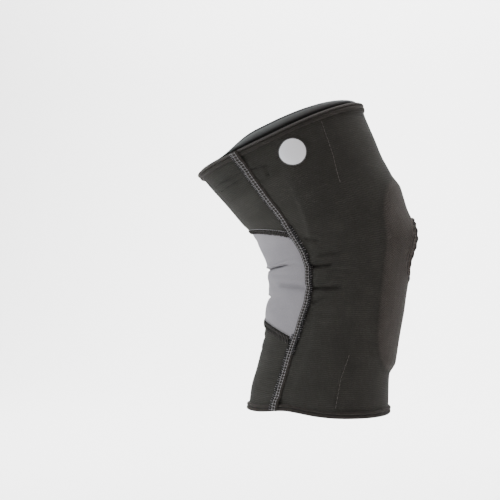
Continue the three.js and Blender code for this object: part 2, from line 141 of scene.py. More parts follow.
# Each row: share of the height, then the angles in degrees of the side seam and of the
# middle of the stay pocket.
ROUTES = np.array([
    (-1.00, 126.0, 98),
    (-0.82, 123.0, 95),
    (-0.60, 118.5, 87),
    (-0.42, 112.0, 84),
    (-0.30, 108.0, 83),
    (-0.10, 105.7, 82),
    (0.00, 107.0, 82),
    (0.20, 111.5, 81),
    (0.43, 114.8, 79),
    (0.70, 117.3, 77),
    (1.00, 117.3, 76),
])
shares, *routes = ROUTES.T
seam_degrees, pocket_degrees = (curve_through(shares, route) for route in routes)


def pad_swell(angle, along):
    """A cube-rooted oval: full height inside it, falling to nothing over the edge's width."""
    across = np.abs(angle) * KNEE_WIDTH / PAD_WIDTH
    up = np.abs(along + PAD_DROP) / (PAD_HEIGHT / 2)
    inside = (1 - np.cbrt(across**3 + up**3)) * PAD_WIDTH / 2
    return PAD_SWELL * smooth(inside, -PAD_EDGE / 2, PAD_EDGE / 2)


def pocket_swell(angle, along):
    """A flat band of the pocket's width round its middle line, with sloping edges."""
    middle = np.radians(pocket_degrees(share_of(along)))
    off = np.abs(np.abs(angle) - middle) * KNEE_WIDTH / 2
    return POCKET_SWELL * smooth(POCKET_WIDTH / 2 - off, -POCKET_EDGE / 2, POCKET_EDGE / 2)


def kneecap_swell(angle, along):
    """A bell-shaped bulge, wider than it is high."""
    across = angle * KNEE_WIDTH / 2 / KNEECAP_SPREAD
    up = (along + KNEECAP_DROP) / KNEECAP_RISE
    return KNEECAP_SWELL * np.exp(-(across**2) - up**2)


print(f"pad {PAD_HEIGHT:.3f} x {PAD_WIDTH:.3f} m, pockets {POCKET_WIDTH:.3f} m wide")

# %% Folds and creases
FOLD_DEPTH, FOLD_WIDTH, FOLD_FADE = 0.0026, 0.005, 18

# Each row: share of the height at the back and at the side, the angle where the fold starts,
# and its depth at the back and at the side as shares of the fold depth.
FOLDS = [
    (-0.055, -0.095, 80, 0.45, 0.40),
    (-0.170, -0.225, 80, 0.15, 0.45),
    (-0.290, -0.300, 130, 0.50, 0.10),
]

# Narrow creases in the folds, beside the seams and hems, and just behind the pockets' stitches.
# Each row: angle and height of one end, angle and height of the other, half width and depth, in
# degrees and millimetres.
RIDGE_SHARE, RIDGE_OFF = 0.45, 2.2
CREASES = [
    (177, -9, 126, -7.4, 1.2, 3.3),
    (130, -7.4, 110, -8.6, 1.6, 1.2),
    (105.5, -12.5, 85, -13.4, 1.9, 3.3),
    (140, -27, 105.5, -33, 2.5, 2.2),
    (104.5, -33, 80, -32.8, 2.2, 3.1),
    (186, -43.5, 160, -42, 1.4, 1.4),
    (103, 14.5, 91, 8, 1.7, 1.7),
    (96, -4.5, 77, -4, 1.9, 1.6),
    (105, -47, 90, -40, 2.2, 1.6),
    (90, -19, 68, -21, 2, 1.1),
    (92, -24.5, 76, -26, 1.8, 1),
    (150, -16, 118, -18, 2.8, 0.6),
    (150, -55, 122, -50, 3.2, 0.6),
    (172, 30, 150, 26, 2.6, 0.6),
    (140, 24, 112, 20, 3.2, 0.5),
    (160, 97, 120, 93, 1.1, 1),
    (158, 90, 122, 88.5, 1.1, 0.8),
    (119.5, 93, 103, 87, 1.1, 1.1),
    (104.8, 90, 106.8, 78, 1, 1.1),
    (168, -118, 128, -116, 1, 0.6),
    (178, -84, 150, -80.5, 1.5, 0.7),
    (176, -95, 134, -92, 1.6, 0.8),
    (168, -104.5, 138, -101.5, 1.3, 0.7),
    (152, -127, 127, -130, 1.3, 0.6),
    (58.5, 100, 65.2, 50, 1, 0.35),
    (70.4, -91, 81.2, -138, 1, 0.5),
    (34, 103.2, 6, 101.6, 0.9, 0.7),
    (28, 99.8, 4, 99, 0.9, 0.5),
]


def fold_depth(angle, along):
    """Bell-shaped valleys across the back, each fading out towards the front."""
    degrees = np.degrees(np.abs(angle))
    t = np.clip((180 - degrees) / 90, 0, 1)
    total = 0
    for back, side, start, deep_back, deep_side in FOLDS:
        middle = (back + (side - back) * t) * BELOW
        deep = deep_back + (deep_side - deep_back) * np.sqrt(t)
        reach = smooth(degrees, start - FOLD_FADE, start + FOLD_FADE)
        total = total + deep * reach * np.exp(-(((along - middle) / FOLD_WIDTH) ** 2))
    return FOLD_DEPTH * total


def crease_depth(angle, along):
    """Narrow valleys along straight lines on the cloth, with a low ridge on the upper side."""
    arc = np.abs(angle) * KNEE_WIDTH / 2
    total = 0
    for a0, s0, a1, s1, wide, deep in CREASES:
        x0, x1 = (math.radians(a) * KNEE_WIDTH / 2 for a in (a0, a1))
        y0, y1 = s0 / 1000, s1 / 1000
        length = math.hypot(x1 - x0, y1 - y0)
        dx, dy = (x1 - x0) / length, (y1 - y0) / length
        t = ((arc - x0) * dx + (along - y0) * dy) / length
        off = ((along - y0) * dx - (arc - x0) * dy) * np.sign(dx) * 1000 / wide
        fade = smooth(t, -0.12, 0.2) * (1 - smooth(t, 0.75, 1.12))
        valley = np.exp(-(off**2)) - RIDGE_SHARE * np.exp(-((off - RIDGE_OFF) ** 2) / 2)
        total = total + deep / 1000 * fade * valley
    return total


def unevenness(angle, along):
    """A few long waves that keep the cloth from looking like a turned part."""
    a, s = angle, along * 1000
    wave = np.sin(3 * a + s / 17) + np.sin(5 * a - s / 23 + 1.3)
    wave = wave + np.sin(2 * a + s / 11 + 2.1) + 0.6 * np.sin(9 * a + s / 29 + 0.4)
    return 0.00009 * wave


PALE_ZONE = 0.25


def tone(angle, along):
    """1 over the pad, where the knit is browner; below 0 behind each pocket, where it is paler."""
    degrees = np.degrees(np.abs(angle))
    zone = smooth(degrees, 96.5, 97.5) * smooth(along, 0.010, 0.022)
    zone = zone * (1 - smooth(along, 0.072, 0.078))
    pad = smooth(pad_swell(angle, along) / PAD_SWELL, 0.2, 0.7)
    return pad - PALE_ZONE * zone


print(f"{len(FOLDS)} folds and {len(CREASES)} creases on each side")

# %% [markdown]
# ## A point of the sleeve
# The middle line of the leg is two straight stretches joined by an arc, and a section of the
# leg is an ellipse whose front and back reach differ. The relief moves a point along the
# section's own outward direction, and so does the thickness of the cloth.

# %% Middle line and sleeve point
CURVING = -(THIGH_LEAN + CALF_LEAN) / BEND_LENGTH


def lean_at(along):
    """How far the leg leans at a height: steady, then changing evenly over the bend."""
    return CALF_LEAN + CURVING * (np.clip(along, -BEND_LENGTH / 2, BEND_LENGTH / 2) + BEND_LENGTH / 2)


def middle_line(along):
    """x and z of the middle line, and its lean: an arc's cosines and sines, then straight on."""
    bent = np.clip(along, -BEND_LENGTH / 2, BEND_LENGTH / 2)
    lean, start = lean_at(bent), lean_at(0.0)
    x = (np.cos(start) - np.cos(lean)) / CURVING + (along - bent) * np.sin(lean)
    z = (np.sin(lean) - np.sin(start)) / CURVING + (along - bent) * np.cos(lean)
    return x, z, lean


def sleeve(angle, along, out=0.0, padding=1.0):
    """Points of the sleeve: the section's ellipse, moved out by the cloth, relief and folds."""
    angle, along = np.broadcast_arrays(np.asarray(angle, float), np.asarray(along, float))
    share = share_of(along)
    down, up = np.clip(-share, 0, None), np.clip(share, 0, None)
    depth = KNEE_DEPTH + (CALF_DEPTH - KNEE_DEPTH) * down + (THIGH_DEPTH - KNEE_DEPTH) * up
    width = KNEE_WIDTH + (CALF_WIDTH - KNEE_WIDTH) * down + (THIGH_WIDTH - KNEE_WIDTH) * up
    side = side_share(share) * width
    reach = np.where(np.cos(angle) > 0, front_share(share), back_share(share)) * depth
    normal = np.stack([np.cos(angle) / reach, np.sin(angle) / side])
    normal = normal / np.linalg.norm(normal, axis=0)
    near = angle - TURN * np.round(angle / TURN)
    swell = np.maximum(pad_swell(near, along), pocket_swell(near, along))
    offset = out + padding * swell + kneecap_swell(near, along) + unevenness(near, along)
    offset = offset - fold_depth(near, along) - crease_depth(near, along)
    x, z, lean = middle_line(along)
    forward = np.cos(angle) * reach + normal[0] * offset
    return np.stack(
        [
            x + forward * np.cos(lean),
            np.sin(angle) * side + normal[1] * offset,
            z - forward * np.sin(lean),
        ],
        axis=-1,
    )


def outward(angle, along, out=0.0, padding=1.0):
    """Unit direction away from the cloth: the cross product of two small steps over it."""
    step = 1e-4
    a = sleeve(angle + step, along, out, padding) - sleeve(angle - step, along, out, padding)
    s = sleeve(angle, along + step, out, padding) - sleeve(angle, along - step, out, padding)
    n = np.cross(a, s)
    return n / np.linalg.norm(n, axis=-1, keepdims=True)


print("knee front at", np.round(sleeve(0.0, 0.0), 4))

# %% [markdown]
# ## Edges of the pieces
# A cutter thinks in pattern pieces, so the sleeve is divided as the real one is: a wide front
# panel from side seam to side seam, three panels behind it, a hem at each end, and a lining
# that shows above the top hem. Each edge is a height at an angle or an angle at a height.

# %% Edges
GAP, TUCK, HEM_HEIGHT = 0.0003, 0.002, 0.0065
HEM_OUT, HEM_RISE, HEM_DROP, HEM_PULL, HEM_PULL_SPREAD = 0.0023, 0.0045, 0.0025, 0.0035, 17
HEM_DIP = 0.0012
LINING_THICK, LINING_DEPTH, LINING_SHOW, LINING_EDGE = 0.0016, 0.014, 0.0085, 0.001
SEAM_WIDTH, SEAM_THICK, SEAM_CLIMB, CROSS_WIDTH = 0.0055, 0.0009, 0.006, 0.005
UPPER_CROSS, LOWER_CROSS = (0.395, 0.175), (-0.466, -0.561)


def seam_angle(along):
    return np.radians(seam_degrees(share_of(np.asarray(along, float))))


def behind(angle):
    return np.maximum(0, -np.cos(angle))


def off_front(angle):
    return np.abs(angle - TURN * np.round(angle / TURN))


def hem_top(angle):
    """The top edge rises at the back and dips a little at the sides."""
    return ABOVE + HEM_RISE * behind(angle) ** 2 - HEM_DIP * np.sin(angle) ** 4


def hem_bottom(angle):
    """The bottom edge hangs lower at the back and is drawn up beside the side seams."""
    pulled = float(seam_degrees(-1.0)) - HEM_PULL_SPREAD / 2
    off = (np.degrees(off_front(angle)) - pulled) / HEM_PULL_SPREAD
    return -BELOW - HEM_DROP * behind(angle) ** 2 + HEM_PULL * np.exp(-(off**2))


def panel_top(angle):
    """The panels end inside the hems, where the fold of the hem hides their cut edges."""
    return hem_top(angle) - HEM_HEIGHT + TUCK


def panel_bottom(angle):
    return hem_bottom(angle) + HEM_HEIGHT - TUCK


def lining_top(angle):
    """The lining shows most at the sides, in front of the side seams."""
    seam = seam_angle(ABOVE)
    before = 1 - smooth(off_front(angle), seam - 0.3, seam + 0.3)
    return hem_top(angle) + LINING_EDGE + LINING_SHOW * np.abs(np.sin(angle)) * before


def cross_seam(back, side):
    """A seam behind the knee, straight when it is looked at from the side."""
    scale = ABOVE if side > 0 else BELOW
    start = -math.cos(float(seam_angle(side * scale)))
    return lambda angle: scale * (side + (back - side) * (-np.cos(angle) - start) / (1 - start))


upper_cross, lower_cross = cross_seam(*UPPER_CROSS), cross_seam(*LOWER_CROSS)
print(f"top edge {hem_top(0.0):.4f} m above the knee at the front, {hem_top(math.pi):.4f} behind")

# %% [markdown]
# ## Making meshes
# Every piece is a grid of points worked out with numpy and joined by four-sided faces. A cloth
# panel has an outer and an inner face and a rim between them; a band is a closed profile
# carried round the leg; a thread is a thin tube. One helper puts any of them into Blender.


# %% Mesh helpers
def new_piece(name, points, faces, material, uv=None, sharp=None, values=None):
    """Puts points and lists of faces into a mesh; uv has one row for each corner of a face."""
    mesh = bpy.data.meshes.new(name)
    points = np.asarray(points, float).reshape(-1, 3)
    corners = np.concatenate([f.ravel() for f in faces]).astype(np.int32)
    sizes = np.concatenate([np.full(len(f), f.shape[1]) for f in faces])
    mesh.vertices.add(len(points))
    mesh.vertices.foreach_set("co", points.astype(np.float32).ravel())
    mesh.loops.add(len(corners))
    mesh.loops.foreach_set("vertex_index", corners)
    mesh.polygons.add(len(sizes))
    mesh.polygons.foreach_set("loop_start", (np.cumsum(sizes) - sizes).astype(np.int32))
    mesh.polygons.foreach_set("use_smooth", np.ones(len(sizes), bool))
    mesh.update(calc_edges=True)
    if uv is not None:
        layer = mesh.uv_layers.new(name="cloth")
        layer.data.foreach_set("uv", np.asarray(uv, np.float32).ravel())
    if values is not None:
        layer = mesh.attributes.new("tone", "FLOAT", "POINT")
        layer.data.foreach_set("value", np.asarray(values, np.float32).ravel())
    if sharp is not None:
        mesh.set_sharp_from_angle(angle=math.radians(sharp))
    mesh.materials.append(material)
    piece = bpy.data.objects.new(name, mesh)
    bpy.context.scene.collection.objects.link(piece)
    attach(piece, "root")
    return piece


def grid_corners(rows, columns, wrap_rows=False, wrap_columns=False):
    """Row and column of the four corners of every face of a grid, not yet wrapped."""
    i, j = np.meshgrid(
        np.arange(rows if wrap_rows else rows - 1),
        np.arange(columns if wrap_columns else columns - 1),
        indexing="ij",
    )
    row = np.stack([i, i, i + 1, i + 1], axis=-1)
    column = np.stack([j, j + 1, j + 1, j], axis=-1)
    return row, column


def band_piece(name, loops, material, length, girth, **more):
    """loops[i, j] is point j of a closed profile at step i round the leg."""
    steps, count = loops.shape[:2]
    row, column = grid_corners(steps, count, True, True)
    faces = ((row % steps) * count + column % count).reshape(-1, 4)
    uv = np.stack([row / steps * length, column / count * girth], axis=-1)
    return new_piece(name, loops, [faces], material, uv.reshape(-1, 2), **more)


print("mesh helpers ready")

# %% [markdown]
# ## Knit
# Knitted cloth shows fine ribs that run round the leg. Modelling each loop would take millions
# of faces, so the ribs are a pattern on the piece's own UV map, which is measured in metres
# along the cloth. Several materials use it, so it is a node group: it turns the UV map into a
# height for the bump and a shade for the colour.


# %% Node helpers
def node(tree, kind, inputs=(), **settings):
    """Adds a node, sets its properties, and fills or links its inputs in order or by name."""
    made = tree.nodes.new(kind)
    for key, value in settings.items():
        setattr(made, key, value)
    pairs = inputs.items() if isinstance(inputs, dict) else enumerate(inputs)
    for key, value in pairs:
        if isinstance(value, bpy.types.NodeSocket):
            tree.links.new(value, made.inputs[key])
        elif value is not None:
            made.inputs[key].default_value = value
    return made


def maths(tree, operation, *inputs):
    return node(tree, "ShaderNodeMath", inputs, operation=operation).outputs[0]


def knit_group():
    """Ribs: a sine wave along the cloth, bent into a zigzag across it, with fuzz from noise."""
    tree = bpy.data.node_groups.new("knit ribs", "ShaderNodeTree")
    add = tree.interface.new_socket
    add("Cloth", in_out="INPUT", socket_type="NodeSocketVector")
    inputs = (("Ribs", 600), ("Zigzags", 300), ("Slant", 0.3), ("Fuzz", 0.5), ("Relief", 1))
    for name, value in inputs:
        add(name, in_out="INPUT", socket_type="NodeSocketFloat").default_value = value
    add("Height", in_out="OUTPUT", socket_type="NodeSocketFloat")
    add("Shade", in_out="OUTPUT", socket_type="NodeSocketFloat")
    given = tree.nodes.new("NodeGroupInput").outputs
    result = tree.nodes.new("NodeGroupOutput").inputs
    place = node(tree, "ShaderNodeSeparateXYZ", [given["Cloth"]]).outputs
    zigzag = maths(tree, "PINGPONG", maths(tree, "MULTIPLY", place[0], given["Zigzags"]), 1.0)
    bend = maths(tree, "MULTIPLY", zigzag, given["Slant"])
    rib = maths(tree, "ADD", maths(tree, "MULTIPLY", place[1], given["Ribs"]), bend)
    wave = maths(tree, "SINE", maths(tree, "MULTIPLY", rib, TURN))

    def noise(scale, roughness):
        inputs = {"Vector": given["Cloth"], "Scale": scale, "Detail": 3.0, "Roughness": roughness}
        return node(tree, "ShaderNodeTexNoise", inputs).outputs[0]

    fuzz, cloud = noise(900.0, 0.7), noise(45.0, 0.6)
    rough = maths(tree, "MULTIPLY", fuzz, given["Fuzz"])
    patchy = maths(tree, "MULTIPLY", wave, maths(tree, "MULTIPLY", cloud, given["Relief"]))
    height = maths(tree, "MULTIPLY_ADD", patchy, 0.5, rough)
    tree.links.new(height, result["Height"])
    tint = maths(tree, "MULTIPLY_ADD", patchy, 0.28, maths(tree, "MULTIPLY", cloud, 0.6))
    shade = maths(tree, "MULTIPLY_ADD", fuzz, 1.3, maths(tree, "SUBTRACT", tint, 0.35))
    tree.links.new(shade, result["Shade"])
    return tree


KNIT = knit_group()
print("node group:", KNIT.name)

# %% [markdown]
# ## Cloth materials
# The brace is a soft, matt, olive-charcoal knit. Cloth differs from plastic mostly at grazing
# angles, where its fine hairs catch the light, and Sheen gives that. The knit group shades the
# colour between two close tones and feeds the bump. A value on the points, called tone, turns
# it to a second pair of colours where it is above 0, and makes it paler where it is below 0.
# On the top hem that second pair is a painted highlight along the fold, and on the lining it
# is painted shade.


# %% Material functions
def plain(name, color, **finish):
    """A material of one colour, with its finish given by the names of the shader's sockets."""
    made = bpy.data.materials.new(name)
    made.use_nodes = True
    sockets = made.node_tree.nodes["Principled BSDF"].inputs
    sockets["Base Color"].default_value = (*color, 1)
    for key, value in finish.items():
        sockets[key.replace("_", " ")].default_value = value
    return made


def cloth(name, dark, light, toned=None, ribs=600.0, fuzz=0.5, depth=0.00025, **finish):
    """A knit between two colours. Tone above 0 turns it to the two toned ones, below 0 paler."""
    made = plain(name, dark, **{"Roughness": 0.9, "Specular_IOR_Level": 0.03, **finish})
    tree = made.node_tree
    shader = tree.nodes["Principled BSDF"]
    place = node(tree, "ShaderNodeUVMap", uv_map="cloth").outputs[0]
    # The tone value: on the panels it marks the pad and the paler zones, on the top hem a painted
    # highlight, and on the lining painted shade.
    tone_and_painted_light = node(tree, "ShaderNodeAttribute", attribute_name="tone").outputs["Fac"]
    inputs = {"Cloth": place, "Ribs": ribs, "Fuzz": fuzz}
    knit = node(tree, "ShaderNodeGroup", inputs, node_tree=KNIT)
    tree.links.new(maths(tree, "MULTIPLY_ADD", tone_and_painted_light, 1.2, 0.3), knit.inputs["Slant"])
    tree.links.new(maths(tree, "MULTIPLY_ADD", tone_and_painted_light, 0.6, 1.0), knit.inputs["Relief"])
    paler = maths(tree, "MULTIPLY", maths(tree, "MINIMUM", tone_and_painted_light, 0.0), -1.0)
    shade = maths(tree, "ADD", knit.outputs["Shade"], paler)
    colors = []
    for pair in ((dark, light), toned or (dark, light)):
        mix = node(tree, "ShaderNodeMix", data_type="RGBA")
        tree.links.new(shade, mix.inputs["Factor"])
        mix.inputs["A"].default_value = (*pair[0], 1)
        mix.inputs["B"].default_value = (*pair[1], 1)
        colors.append(mix.outputs["Result"])
    blend = node(tree, "ShaderNodeMix", data_type="RGBA")
    for value, socket in zip((tone_and_painted_light, *colors), ("Factor", "A", "B")):
        tree.links.new(value, blend.inputs[socket])
    tree.links.new(blend.outputs["Result"], shader.inputs["Base Color"])
    bump = node(tree, "ShaderNodeBump", {"Strength": 1.0, "Distance": depth})
    tree.links.new(knit.outputs["Height"], bump.inputs["Height"])
    tree.links.new(bump.outputs[0], shader.inputs["Normal"])
    return made


print("material functions ready")

# %% Cloth materials
CHARCOAL = cloth(
    "charcoal knit",
    (0.0078, 0.0077, 0.0069),
    (0.0235, 0.0232, 0.0210),
    ((0.0138, 0.0126, 0.0114), (0.0370, 0.0338, 0.0312)),
    Sheen_Weight=0.02,
)
# The toned pair is a painted highlight: it lightens the top of the hem's fold, where light falls on
# it.
HEM = cloth(
    "charcoal hem",
    (0.0075, 0.007, 0.0064),
    (0.025, 0.023, 0.021),
    ((0.015, 0.0143, 0.0138), (0.047, 0.0445, 0.043)),
    Sheen_Weight=0.03,
)
GREY = cloth(
    "grey stretch knit",
    (0.104, 0.102, 0.111),
    (0.156, 0.152, 0.164),
    ribs=1100.0,
    depth=0.00015,
    Roughness=0.75,
)
# The toned pair is near black: painted shade on the lining's top edge and in the gap under the hem.
LINING = cloth(
    "lining knit",
    (0.055, 0.058, 0.060),
    (0.105, 0.110, 0.113),
    ((0.004, 0.004, 0.004), (0.008, 0.008, 0.008)),
    ribs=900.0,
    depth=0.0001,
    Roughness=0.6,
    Specular_IOR_Level=0.1,
)
BLACK = cloth(
    "black binding",
    (0.004, 0.004, 0.004),
    (0.014, 0.0135, 0.013),
    ((0.03, 0.027, 0.025), (0.07, 0.063, 0.058)),
    depth=0.0002,
)
print("cloth materials:", ", ".join(m.name for m in (CHARCOAL, HEM, GREY, LINING, BLACK)))


# %% Plain materials
MATT = {"Roughness": 0.9, "Specular_IOR_Level": 0.1}
LUSTRE = {"Roughness": 0.8, "Specular_IOR_Level": 0.2}
GREY_THREAD = plain("light grey thread", (0.145, 0.145, 0.15), **LUSTRE)
DARK_THREAD = plain("dark thread", (0.052, 0.049, 0.046), **MATT)
BLACK_THREAD = plain("black thread", (0.006, 0.006, 0.0063), **MATT)
SILVER = plain("silver print", (0.42, 0.43, 0.45), Roughness=0.45)
RIM = plain("dark badge rim", (0.02, 0.02, 0.02), Roughness=0.6)
print("plain materials ready")

# %% [markdown]
# ## Cloth panels
# A panel is cut between two side edges, given as angles at a height, and two cross edges,
# given as heights at an angle. Where it lies on both kinds of edge is found by turns. The
# outer face carries the pad and the pockets, the inner face lies on the leg.


# %% Panel function
def panel(name, material, left, right, bottom, top, across, rows, opening=None):
    """A grid of places between four edges, its outer and inner faces, and a rim round them."""
    t, r = np.meshgrid(np.linspace(0, 1, across + 1), np.linspace(0, 1, rows + 1))
    along = np.zeros_like(t)
    angle = np.zeros_like(t)
    for _ in range(6):
        angle = left(along) + (right(along) - left(along)) * t
        along = bottom(angle) + (top(angle) - bottom(angle)) * r
    outer = sleeve(angle, along)
    inner = sleeve(angle, along, -CLOTH, 0.0)
    row, column = grid_corners(rows + 1, across + 1)
    ids = row * (across + 1) + column
    keep = np.ones(ids.shape[:2], bool)
    if opening is not None:
        keep = ~opening(outer).ravel()[ids].all(axis=-1)
    size = outer.shape[0] * outer.shape[1]
    front = ids[keep]
    back = (ids + size)[..., ::-1][keep]
    here = front.ravel()
    ahead = np.roll(front, -1, axis=1).ravel()
    alone = ~np.isin(here * size + ahead, ahead * size + here)
    here, ahead = here[alone], ahead[alone]
    rim = np.stack([ahead, here, here + size, ahead + size], axis=-1)
    faces = np.concatenate([front, back, rim])
    flat = np.stack([angle * KNEE_WIDTH / 2, along], axis=-1).reshape(-1, 2)
    uv = np.concatenate([flat, flat])[faces.ravel()]
    shade = tone(off_front(angle), along).ravel()
    values = np.concatenate([shade, 0 * shade])
    points = np.concatenate([outer.reshape(-1, 3), inner.reshape(-1, 3)])
    piece = new_piece(name, points, [faces], material, uv, sharp=50, values=values)
    print(f"{name}: {len(faces)} faces")
    return piece


# %% Front panel
OPENING_HEIGHT, OPENING_WIDTH = 0.053, 0.040
CUT_MARGIN = 0.0019
HALF_GAP = GAP / KNEE_WIDTH


def in_opening(points):
    """True where a point at the front lies within the cut edge of the kneecap opening."""
    y = points[..., 1] / (OPENING_WIDTH / 2 + CUT_MARGIN)
    z = points[..., 2] / (OPENING_HEIGHT / 2 + CUT_MARGIN)
    return (y**2 + z**2 < 1) & (points[..., 0] > 0)


sides = (lambda s: -seam_angle(s) + HALF_GAP, lambda s: seam_angle(s) - HALF_GAP)
front_panel = panel("front_cloth", CHARCOAL, *sides, panel_bottom, panel_top, 150, 260, in_opening)
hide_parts("front_panel")


# %% Back panels
def above(line):
    return lambda angle: line(angle) + GAP / 2


def below(line):
    return lambda angle: line(angle) - GAP / 2


sides = (lambda s: seam_angle(s) + HALF_GAP, lambda s: TURN - seam_angle(s) - HALF_GAP)
upper_panel = panel("upper_back_cloth", CHARCOAL, *sides, above(upper_cross), panel_top, 70, 50)
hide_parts("upper_back_panel")
grey_panel = panel("grey_cloth", GREY, *sides, above(lower_cross), below(upper_cross), 90, 110)
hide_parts("popliteal_panel")
lower_panel = panel("lower_back_cloth", CHARCOAL, *sides, panel_bottom, below(lower_cross), 70, 50)
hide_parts("lower_back_panel")

# %% [markdown]
# ## Hems and lining
# A hem is the cloth folded over and stitched down, so it is a soft round-edged band a little
# fatter than the panels. A band could be bevelled from a box, but a profile of rounded corners
# carried round the leg keeps it exactly on the sleeve. The lining rolls out above the top hem.


# %% Band function
BAND_STEPS, BAND_LENGTH = 280, 0.42
HEM_GIRTH, LINING_GIRTH = 0.022, 0.04


def band(name, material, profile, girth, tones=None):
    """profile(angle) gives out and height of each point of the closed profile at that angle."""
    angle = np.linspace(0, TURN, BAND_STEPS, endpoint=False)
    out, along = profile(angle)
    loops = sleeve(angle[:, None], along, out, 0.0)
    values = None if tones is None else np.tile(tones, BAND_STEPS)
    piece = band_piece(name, loops, material, BAND_LENGTH, girth, sharp=60, values=values)
    print(f"{name}: {loops.shape[0] * loops.shape[1]} faces")
    return piece


# Each row: share of the hem's height, out in millimetres, and how pale the folded edge is painted; on
# the top hem this is a painted highlight along the top of the fold.
HEM_ROWS = np.array([
    (0.20, -3.2, 0),
    (0.50, -3.2, 0),
    (0.80, -3.2, 0),
    (0.93, -2.6, 0),
    (1.00, -1.6, 0),
    (1.00, 0.0, 0.2),
    (0.96, 1.1, 0.8),
    (0.87, 1.9, 1),
    (0.76, 2.3, 1),
    (0.65, 2.1, 0.3),
    (0.55, 1.1, 0),
    (0.45, 1.8, 0),
    (0.30, 2.1, 0),
    (0.12, 1.9, 0),
    (0.02, 1.2, 0),
    (0.00, -1.6, 0),
    (0.07, -2.8, 0),
])


def hem_profile(low, high):
    """From the inner face up over the rolled edge and down the outer face, with a stitch groove."""

    def profile(angle):
        bottom, top = low(angle)[:, None], high(angle)[:, None]
        along = bottom + (top - bottom) * HEM_ROWS[:, 0]
        return HEM_ROWS[:, 1] / 1000 + 0 * along, along

    return profile


top_profile = hem_profile(lambda a: hem_top(a) - HEM_HEIGHT, hem_top)
# The third column paints a highlight along the top of the fold.
top_hem = band("top_hem_fold", HEM, top_profile, HEM_GIRTH, HEM_ROWS[:, 2])
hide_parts("top_hem")
bottom_profile = hem_profile(hem_bottom, lambda a: hem_bottom(a) + HEM_HEIGHT)
bottom_hem = band("bottom_hem_fold", HEM, bottom_profile, HEM_GIRTH)
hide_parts("bottom_hem")


# %% Lining band
# Each row: share of the height that shows, or below 0 of the hidden depth; out as a share of
# the roll's thickness; and how dark it is painted: painted shade along the top edge of the roll
# and down its outer face into the gap under the hem.
LINING_ROWS = np.array([
    (-1.00, 0.00, 0),
    (-1.00, -1.00, 0),
    (0.00, -1.00, 0),
    (0.30, -1.00, 0),
    (0.60, -0.95, 0),
    (0.85, -0.80, 0.6),
    (1.00, -0.40, 1),
    (1.00, 0.35, 1),
    (0.94, 0.70, 1),
    (0.86, 0.88, 0.6),
    (0.78, 0.97, 0),
    (0.62, 1.00, 0.25),
    (0.40, 0.85, 0.45),
    (0.30, 0.40, 0.7),
    (0.20, 0.00, 1),
    (0.00, 0.00, 1),
])


def lining_profile(angle):
    """A thin strip inside the hem that swells into a soft roll above it."""
    top, neck = lining_top(angle)[:, None], hem_top(angle)[:, None] + GAP
    outer = -CLOTH - GAP
    share, out = LINING_ROWS[:, 0], LINING_ROWS[:, 1]
    below_neck = neck - LINING_DEPTH * np.clip(-share, 0, 1)
    along = below_neck + (top - neck) * np.clip(share, 0, 1)
    return outer + out * LINING_THICK + 0 * along, along


# The third column of the rows paints shade on the top edge and in the gap under the hem.
lining = band("lining_roll", LINING, lining_profile, LINING_GIRTH, LINING_ROWS[:, 2])
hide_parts("lining_band")

# %% [markdown]
# ## Threads
# The side seams are flat seams: the panels meet edge to edge, and rows of thread hold them.
# A thread that shows is a thin tube. Hundreds of them are made at once: the middle lines of
# all stitches are one array, and each gets a ring of points round it at every step.


# %% Thread function
def threads(name, lines, normals, radius, material, sides=5):
    """Tubes round lines[i, j]: step j of stitch i. Rings turn from across the line to outward."""
    direction = np.gradient(lines, axis=1)
    direction /= np.linalg.norm(direction, axis=-1, keepdims=True)
    across = np.cross(direction, normals)
    across /= np.linalg.norm(across, axis=-1, keepdims=True)
    up = np.cross(across, direction)
    count, steps = lines.shape[:2]
    t = np.linspace(-1, 1, steps)
    taper = np.sqrt(1 - 0.85 * t**6)
    turn = np.linspace(0, TURN, sides, endpoint=False)
    ring = np.cos(turn)[:, None] * across[:, :, None] + np.sin(turn)[:, None] * up[:, :, None]
    points = lines[:, :, None] + ring * (radius * taper)[None, :, None, None]
    row, column = grid_corners(steps, sides, False, True)
    first = (np.arange(count) * steps * sides)[:, None, None, None]
    tube = (row * sides + column % sides)[None] + first
    tube = tube[..., ::-1].reshape(-1, 4)
    start = np.arange(count)[:, None] * steps * sides + np.arange(sides)
    end = start[:, ::-1] + (steps - 1) * sides
    piece = new_piece(name, points, [tube, start, end], material)
    print(f"{name}: {count} stitches")
    return piece


def run_length(path):
    """How far along a line of points each of them lies."""
    return np.concatenate([[0], np.cumsum(np.linalg.norm(np.diff(path, axis=0), axis=1))])


def joined(rows):
    """Several rows of stitches as one: their lines, and their normals."""
    return (np.concatenate(pair) for pair in zip(*rows))


def stitch_row(route, pitch, share=0.8, bow=0.0, steps=5):
    """Short stitches along a route. route(t) gives angle, height and out for t from 0 to 1."""
    t = np.linspace(0, 1, 400)
    angle, along, out = route(t)
    length = run_length(sleeve(angle, along, out))
    count = max(2, int(length[-1] / pitch))
    start = (np.arange(count) + 0.5 - share / 2) / count
    part = np.linspace(0, 1, steps)
    at = np.interp(start[:, None] + part * share / count, length / length[-1], t)
    angle, along, out = route(at)
    lift = out + bow * (1 - (2 * part - 1) ** 2)
    return sleeve(angle, along, lift), outward(angle, along, out)


print("thread helpers ready")

# %% [markdown]
# ## Side seams
# Each side seam is a soft ridge where the panels meet. Two light rows of needle thread run
# down it, with thin threads between them and over the rear edge like the rungs of a ladder,
# among a black fringe. Beside the grey panel most rungs are black and lie on the front edge.


# %% Seam ridge
CLIMB_END, SEAM_END, THREAD_LIFT = 0.004, 0.0006, 0.0008
RUNG_PARTS = np.linspace(0, 1, 7)


def seam_lift(angle, along):
    """A seam lies on the panels and climbs over the hems at both ends."""
    high, low = panel_top(angle) - CLIMB_END, panel_bottom(angle) + CLIMB_END
    over_top = smooth(along, high - SEAM_CLIMB, high)
    over_bottom = 1 - smooth(along, low, low + SEAM_CLIMB)
    return GAP + HEM_OUT * np.maximum(over_top, over_bottom)


